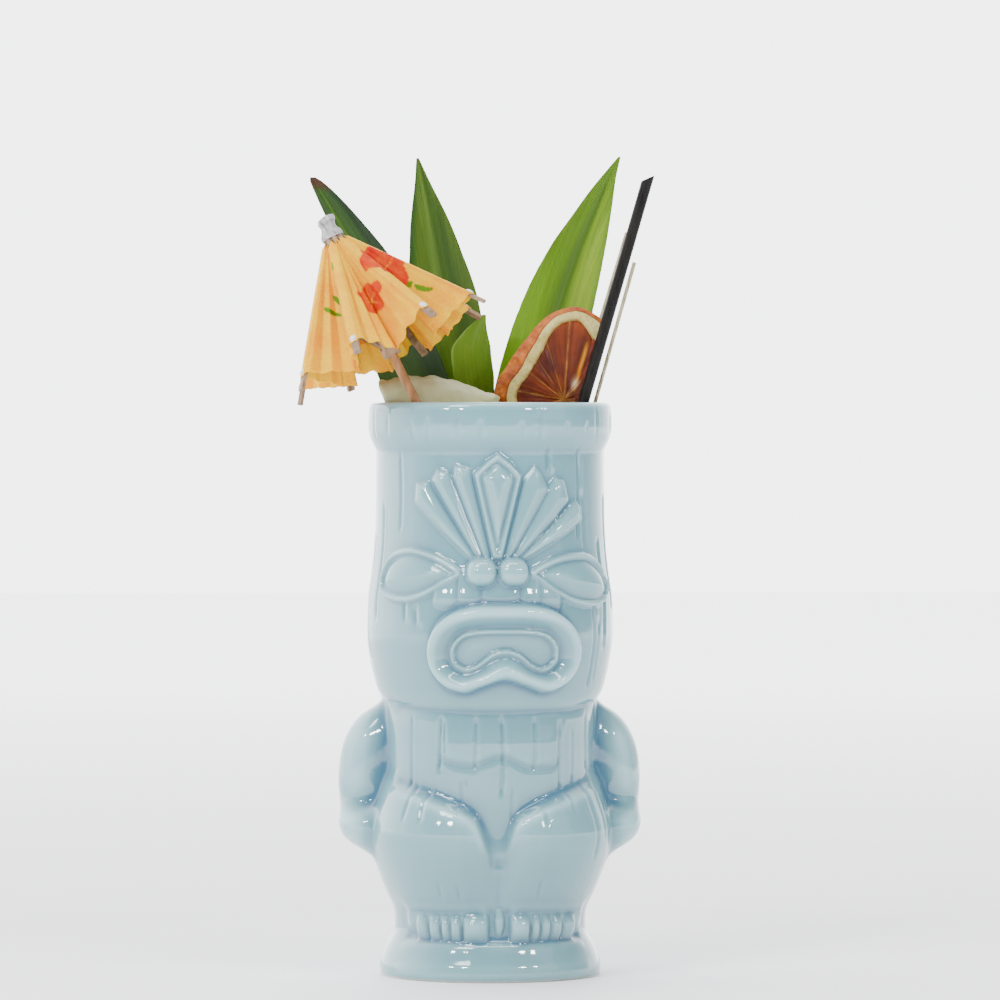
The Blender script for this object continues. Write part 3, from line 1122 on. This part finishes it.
def print_colours(degrees, distance):
    """The printed paper: yellow-orange with red blossoms and green strokes, in flat polar places."""
    rad = np.radians(degrees)
    x, y = distance * np.cos(rad), distance * np.sin(rad)
    cloud = cloud_noise(x * 0.35, y * 0.35, 61)
    colour = two_tones(srgb(255, 192, 30), srgb(255, 212, 66), cloud)
    for turn, away, lean, length, width in LEAF_STROKES:
        a = math.radians(turn)
        dx, dy = x - away * math.cos(a), y - away * math.sin(a)
        b = a + math.radians(lean)
        u = dx * math.cos(b) + dy * math.sin(b)
        v = -dx * math.sin(b) + dy * math.cos(b)
        bend = v - 0.08 * u**2
        inside = 1 - (u / length) ** 2 - (bend / width) ** 2 + 0.25 * wave_noise(x * 1.6, y * 1.6, 62)
        colour = blend_colour(colour, srgb(92, 156, 36), 0.95 * smooth_step(0.0, 0.25, inside))
    for turn, away, size in FLOWERS:
        a = math.radians(turn)
        dx, dy = x - away * math.cos(a), y - away * math.sin(a)
        r = np.hypot(dx, dy)
        t = np.arctan2(dy, dx) + turn
        edge = size * (0.74 + 0.24 * np.abs(np.cos(2.5 * t)) + 0.05 * wave_noise(dx, dy, 63))
        inside = smooth_step(0.0, 0.35, edge - r)
        petal = two_tones(srgb(222, 84, 62), srgb(238, 122, 86), cloud_noise(dx * 0.9, dy * 0.9, 64))
        creases = np.exp(-((np.sin(2.5 * t) * r / 0.35) ** 2)) * smooth_step(0.5, 1.2, r)
        petal = blend_colour(petal, srgb(250, 186, 110), 0.65 * creases
            * smooth_step(size * 0.8, size * 0.4, r))
        petal = blend_colour(petal, srgb(255, 206, 96), 0.9 * smooth_step(0.9, 0.5, r))
        stamen = np.exp(-((np.sin(3.5 * t + 1.0) * r / 0.22) ** 2))
        stamen = stamen * smooth_step(size * 0.55, size * 0.45, r)
        petal = blend_colour(petal, srgb(255, 200, 90), 0.8 * stamen)
        colour = colour * (1 - inside[..., None]) + petal * inside[..., None]
    return colour


def paper_material():
    """Thin printed tissue paper that lets some light through."""
    n = Nodes("canopy_paper", Roughness=0.62, IOR=1.4, Specular_IOR_Level=0.15, Subsurface_Weight=0.25,
        Subsurface_Scale=0.002)
    n.shader.inputs["Subsurface Radius"].default_value = (1.0, 0.7, 0.35)
    tint = n.attribute("tint", "Color")
    fibre = n.grain(0.35, 0.65, 1400.0, 4.0)
    shade = n.mix(fibre, (0.90, 0.88, 0.84), (1.05, 1.05, 1.05))
    n.feed("Base Color", n.mix(1.0, tint, shade, "MULTIPLY"))
    n.feed("Normal", n.bump(n.noise(260.0, 3.0), 0.25, 0.0004, n.bump(fibre, 0.2, 0.0001)))
    return n.material


def triangle_wave(value):
    """A zigzag of period 1 between -1 and 1, zero at whole numbers."""
    return 2.0 / math.pi * np.arcsin(np.sin(2 * math.pi * value))


def make_fold(index, hand, letter, material):
    """A panel from a rib's crease to the valley: fine paper with small knife pleats and a cut edge."""
    number = index + 1
    valley = math.radians(SPIN - index * 360.0 / RIBS + hand * 180.0 / RIBS)
    inner = rib_point(index, PAPER_START, hand * PAPER_SIDE, PAPER_RISE)
    outer = rib_point(index, PAPER_END, hand * PAPER_SIDE, PAPER_RISE)
    out = np.array([math.cos(valley), math.sin(valley), 0.0])
    tip = out * math.sin(VALLEY_ANGLE) * PAPER_END - np.array([0, 0, math.cos(VALLEY_ANGLE) * PAPER_END])
    along = (outer - inner) / np.linalg.norm(outer - inner)
    middle = np.array([-math.sin(valley), math.cos(valley), 0.0])
    apex = inner - along * (inner @ middle) / (along @ middle)
    down = (tip - apex) / np.linalg.norm(tip - apex)
    top = apex + down * VALLEY_START
    s, t = np.meshgrid(np.linspace(0, 1, 41), np.linspace(0, 1, 96))
    seed = 70 + 2 * number + (hand > 0)
    rough = 0.006 * wave_noise(s * 14.0 + number, 0 * s, seed, 3)
    cut = t * (1 + rough - 0.010 * np.abs(triangle_wave(s * PLEATS + 0.1)))
    rib_line = inner + cut[..., None] * (outer - inner)
    valley_line = top + cut[..., None] * (tip - top)
    base = rib_line * (1 - s[..., None]) + valley_line * s[..., None]
    normal = np.cross(along, tip - inner)
    normal = normal / np.linalg.norm(normal) * hand
    keep = np.sin(math.pi * s) ** 0.7
    pleat = PLEAT_HEIGHT * t * triangle_wave(s * PLEATS) * keep
    crumple = 0.12 * t * wave_noise(s * 9.0, t * 5.0, seed + 40, 3) * keep
    sag = 0.3 * np.sin(math.pi * s) * t**2
    surface = base + (pleat + crumple + sag)[..., None] * normal
    side = PAPER_THICKNESS / 2
    clear = (s > 0.999)[..., None] * middle * (-hand * 0.03)
    front = on_umbrella(surface + normal * side + clear)
    rear = on_umbrella(surface - normal * side + clear)
    points, faces = shell(front, rear)
    name = f"canopy_fold_{number}{letter}"
    piece = make_mesh(f"paper_fold_{number}{letter}", points, faces, material, f"fold_{number}{letter}",
        [name])
    distance = PAPER_START + cut * (PAPER_END - PAPER_START)
    from_rib = np.degrees(np.arctan2(PAPER_SIDE, distance))
    degrees = -RIB_STEP * index + hand * (from_rib + s * (RIB_STEP / 2 - from_rib))
    tint = print_colours(degrees, distance)
    facet = smooth_step(0.25, -0.25, np.cos(5.0 * math.pi * s) * hand) * smooth_step(0.02, 0.4, t)
    tint = blend_colour(tint, tint * np.array([0.86, 0.66, 0.34]), 0.75 * facet)
    tint = blend_colour(tint, tint * np.array([0.92, 0.76, 0.5]), 0.7 * smooth_step(0.75, 1.0, s) * t)
    paint_tint(piece, tint, 1.0)


def make_ridge(index, material):
    """The strip of paper glued along a rib, with a small white drop of glue near its end."""
    number = index + 1
    side_share, t = np.meshgrid(np.linspace(-1, 1, 13), np.linspace(0, 1, 130))
    along = PAPER_START + t * (PAPER_END + 0.4 - PAPER_START)
    drop = np.clip(1 - ((along - 46.0) / 1.25) ** 2 - (side_share / 0.8) ** 2, 0, 1)
    taper = np.minimum(1.0, 0.35 + 0.65 * smooth_step(0.0, 0.05, t))
    side = side_share * (PAPER_SIDE - 0.05) * taper
    rise = PAPER_RISE + 0.18 * (1 - side_share**2) + 0.05 * wave_noise(along * 0.9, side, 90 + number)
    front = on_umbrella(rib_point(index, along, side, rise + 0.55 * np.sqrt(drop)))
    rear = on_umbrella(rib_point(index, along, side, np.full_like(along, PAPER_RISE - 0.08)))
    points, faces = shell(front, rear)
    piece = make_mesh(f"paper_ridge_{number}", points, faces, material, f"rib_{number}",
        [f"canopy_ridge_{number}"])
    degrees = -RIB_STEP * index + np.degrees(np.arctan2(side, along))
    tint = print_colours(degrees, along)
    tint = blend_colour(tint, srgb(236, 238, 240), smooth_step(0.02, 0.12, drop))
    paint_tint(piece, tint, 1.0)


# (height over the crown's thread, radius)
CAP_OUTSIDE = [(0.2, 3.5), (1.0, 3.55), (2.2, 3.2), (3.0, 2.5), (3.9, 2.15), (4.9, 2.35), (5.9, 2.7),
    (6.7, 2.5), (7.3, 1.6), (7.6, 0.4)]
CAP_TOP = 7.6


def make_cap():
    """A scrap of white tissue wound round the stick's top and over the crown."""
    turn = np.linspace(0, 2 * math.pi, 121)[:-1]
    heights = np.linspace(0.2, CAP_TOP, 80)
    a, h = np.meshgrid(turn, heights)
    crumple = np.zeros_like(a)
    for k, (waves, phase) in enumerate(((5, 0.4), (8, 1.7), (13, 2.9))):
        ripple = np.abs(np.sin(waves / 2 * a + phase + 0.35 * h * (1 + k)))
        crumple = crumple + (0.26 / (1 + 0.6 * k)) * ripple
    free = smooth_step(1.6, 3.4, h)
    radius = smooth_curve(CAP_OUTSIDE, h) + (crumple - 0.2) * (0.35 + 0.9 * free)
    radius = np.maximum(radius, 0.02)
    bend = 0.05 * np.clip(h - 3.0, 0, None) ** 2
    outside = np.stack([radius * np.cos(a) + bend, radius * np.sin(a), h], axis=-1)
    inside = []
    for r, z in ((3.32, 0.2), (3.32, 2.1), (1.55, 2.2), (1.55, 6.3)):
        inside.append(np.stack([r * np.cos(turn), r * np.sin(turn), np.full_like(turn, z)], axis=-1))
    grid = np.concatenate([np.array(inside)[::-1], outside])
    rows, columns = grid.shape[:2]
    faces = grid_faces(rows, columns, wrap=True)
    points = grid.reshape(-1, 3)
    points = np.concatenate([points, [[bend[-1, 0], 0, CAP_TOP + 0.08], [0, 0, 6.4]]])
    last = (rows - 1) * columns
    for c in range(columns):
        d = (c + 1) % columns
        faces.append((last + c, last + d, len(points) - 2))
        faces.append((d, c, len(points) - 1))
    n = Nodes("cap_paper", Roughness=0.8, Specular_IOR_Level=0.2)
    crease = n.grain(0.35, 0.65, 700.0, 4.0)
    deep = n.attribute("deep")
    tone = n.mix(crease, (0.24, 0.235, 0.24), (0.50, 0.50, 0.51))
    n.feed("Base Color", n.mix(deep, tone, (0.06, 0.055, 0.055)))
    n.feed("Normal", n.bump(crease, 0.6, 0.0004))
    cap = make_mesh("cap_tissue", on_umbrella(points), faces, n.material, "umbrella", ["umbrella_cap"])
    deep_outside = np.clip(0.95 - (crumple / 0.3), 0, 1) * free * 0.95
    paint(cap, "deep", np.concatenate([np.full(4 * columns, 0.2), deep_outside.ravel(), [0.0, 0.2]]))


# ---------------------------------------------------------------- materials of the CAD nodes


def wood_material(name, dark, light, grain, direction):
    """Pale wood with fine streaks along its length."""
    n = Nodes(name, Roughness=0.6, Specular_IOR_Level=0.3)
    streak = n.grain(0.35, 0.65, grain, 4.0, direction)
    cloud = n.grain(0.3, 0.7, 90.0, 3.0)
    tone = n.mix(streak, dark, light)
    n.feed("Base Color", n.mix(1.0, tone, n.mix(cloud, (0.86, 0.84, 0.82), (1.06, 1.06, 1.06)),
        "MULTIPLY"))
    n.feed("Roughness", n.range(streak, 0.0, 1.0, 0.5, 0.72))
    n.feed("Normal", n.bump(streak, 0.35, 0.0002))
    return n.material


def plastic_material():
    """Black straw plastic with faint scuffs."""
    n = Nodes("black_plastic", Roughness=0.45, Specular_IOR_Level=0.12)
    scuff = n.grain(0.4, 0.7, 500.0, 4.0, (1, 1, 0.15))
    n.feed("Base Color", n.mix(scuff, (0.004, 0.0035, 0.003), (0.012, 0.011, 0.010)))
    n.feed("Roughness", n.range(scuff, 0.0, 1.0, 0.38, 0.55))
    n.feed("Normal", n.bump(scuff, 0.08, 0.0001))
    return n.material


def card_material():
    """Turned pale card or soft wood of the crown and the runner."""
    n = Nodes("card", Roughness=0.75, Specular_IOR_Level=0.25)
    fibre = n.grain(0.35, 0.65, 800.0, 4.0, (1, 1, 0.3))
    n.feed("Base Color", n.mix(fibre, (0.32, 0.20, 0.115), (0.46, 0.31, 0.19)))
    n.feed("Normal", n.bump(fibre, 0.4, 0.0002))
    return n.material


def thread_material():
    """Twisted cotton thread."""
    n = Nodes("thread", Roughness=0.85, Specular_IOR_Level=0.15)
    twist = n.grain(0.35, 0.65, 4000.0, 2.0)
    n.feed("Base Color", n.mix(twist, (0.45, 0.30, 0.22), (0.74, 0.62, 0.52)))
    n.feed("Normal", n.bump(twist, 0.5, 0.0001))
    return n.material


def dress_nodes():
    """Gives every CAD node that stays its material."""
    rib_wood = wood_material("rib_wood", (0.16, 0.095, 0.05), (0.30, 0.20, 0.125), 700.0, (1, 1, 0.12))
    stick_wood = wood_material("stick_wood", (0.22, 0.095, 0.03), (0.40, 0.20, 0.085), 500.0,
        (1, 1, 0.10))
    bamboo = wood_material("bamboo", (0.22, 0.19, 0.09), (0.50, 0.46, 0.31), 900.0, (1, 1, 0.06))
    by_slot = {"umbrella_rib": rib_wood, "umbrella_strut": rib_wood, "umbrella_stick": stick_wood,
        "umbrella_crown_thread": thread_material(), "umbrella_crown": card_material(),
        "umbrella_runner_thread": thread_material(), "umbrella_runner": card_material(),
        "straw": plastic_material(), "pick": bamboo}
    for name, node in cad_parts.items():
        start = next((key for key in by_slot if name.startswith(key)), None)
        if start is not None:
            node.data.materials.clear()
            node.data.materials.append(by_slot[start])


# ---------------------------------------------------------------- stage


def area_light(name, place, aim, size, power, colour=(1, 1, 1)):
    """A soft rectangular light that points at a place."""
    data = bpy.data.lights.new(name, "AREA")
    data.shape = "RECTANGLE"
    data.size, data.size_y = size
    data.energy = power
    data.color = colour
    light = bpy.data.objects.new(name, data)
    light.location = place
    direction = Vector(aim) - Vector(place)
    light.rotation_euler = direction.to_track_quat("-Z", "Y").to_euler()
    bpy.context.scene.collection.objects.link(light)
    return light


def make_stage():
    """A pale floor that curves up behind, soft lights, and a pale sky."""
    world = bpy.data.worlds.new("studio")
    bpy.context.scene.world = world
    world.use_nodes = True
    tree = world.node_tree
    background = tree.nodes["Background"]
    direction = tree.nodes.new("ShaderNodeTexCoord")
    parts = tree.nodes.new("ShaderNodeSeparateXYZ")
    turned_sky = tree.nodes.new("ShaderNodeMapping")
    turned_sky.inputs["Rotation"].default_value = (0.0, 0.0, SKY_TURN)
    tree.links.new(direction.outputs["Generated"], turned_sky.inputs["Vector"])
    tree.links.new(turned_sky.outputs["Vector"], parts.inputs["Vector"])
    strength = tree.nodes.new("ShaderNodeMapRange")
    strength.interpolation_type = "SMOOTHSTEP"
    for socket, value in zip(("From Min", "From Max", "To Min", "To Max"),
        (-0.25, 0.85, FRONT_SKY, BACK_SKY)):
        strength.inputs[socket].default_value = value
    tree.links.new(parts.outputs["Y"], strength.inputs["Value"])
    tree.links.new(strength.outputs["Result"], background.inputs["Strength"])
    background.inputs["Color"].default_value = (0.97, 0.98, 1.0, 1.0)
    n = Nodes("floor", Roughness=0.6)
    grain = n.grain(0.3, 0.7, 40.0, 3.0)
    n.feed("Base Color", n.mix(grain, (0.92, 0.92, 0.93), (0.94, 0.94, 0.95)))
    away = n.add("ShaderNodeVectorMath", operation="LENGTH")
    n.join(n.place(), away.inputs[0])
    n.shader.inputs["Emission Color"].default_value = (0.97, 0.98, 1.0, 1.0)
    n.feed("Emission Strength", n.range(away.outputs["Value"], 0.25, 2.0, 0.0, FLOOR_GLOW))
    bpy.ops.mesh.primitive_plane_add(size=8.0)
    floor = bpy.context.object
    floor.name = "floor"
    floor.data.materials.append(n.material)
    aim = (0, 0, 0.12)
    area_light("key", (-0.75, -0.95, 1.35), aim, (0.5, 0.5), KEY_POWER)
    area_light("strip", (0.0, -0.55, 1.45), aim, (1.2, 0.14), STRIP_POWER)
    area_light("fill", (1.3, -0.8, 0.6), aim, (0.8, 0.8), FILL_POWER, (0.84, 0.86, 1.0))
    area_light("window_a", (0.86, -0.78, 0.62), aim, (0.09, 0.07), 0.7 * WINDOW_POWER)
    area_light("window_b", (0.64, -0.96, 0.62), aim, (0.11, 0.08), WINDOW_POWER)
    area_light("window_c", (-0.60, -0.98, 0.62), aim, (0.11, 0.08), WINDOW_POWER)
    area_light("window_d", (-0.84, -0.80, 0.62), aim, (0.08, 0.07), 0.6 * WINDOW_POWER)


CAMERA_DISTANCE = 2.0
CAMERA_HEIGHT = 0.180
SCALE_PER_METRE = 3178.0  # image points per metre at the mug's axis, in an image 1000 points wide
AIM_RIGHT = 0.00315
AIM_HEIGHT = 0.1492


def make_camera():
    """The camera stands level with the rim, a little to the left of the face, far away."""
    data = bpy.data.cameras.new("camera")
    data.sensor_width = 36.0
    data.lens = SCALE_PER_METRE * CAMERA_DISTANCE * data.sensor_width / 1000.0
    camera = bpy.data.objects.new("camera", data)
    right = Vector((math.cos(TURN), math.sin(TURN), 0))
    back = Vector((math.sin(TURN), -math.cos(TURN), 0))
    aim = right * AIM_RIGHT + Vector((0, 0, AIM_HEIGHT))
    camera.location = right * AIM_RIGHT + back * CAMERA_DISTANCE + Vector((0, 0, CAMERA_HEIGHT))
    camera.rotation_euler = (aim - camera.location).to_track_quat("-Z", "Y").to_euler()
    bpy.context.scene.collection.objects.link(camera)
    bpy.context.scene.camera = camera


make_camera()
make_stage()
make_mug()
for seed, leaf in enumerate(LEAVES):
    make_leaf(leaf, 100 + 10 * seed)
make_orange()
make_ice()
paper = paper_material()
for rib in range(RIBS):
    make_ridge(rib, paper)
    make_fold(rib, 1, "a", paper)
    make_fold(rib, -1, "b", paper)
make_cap()
dress_nodes()
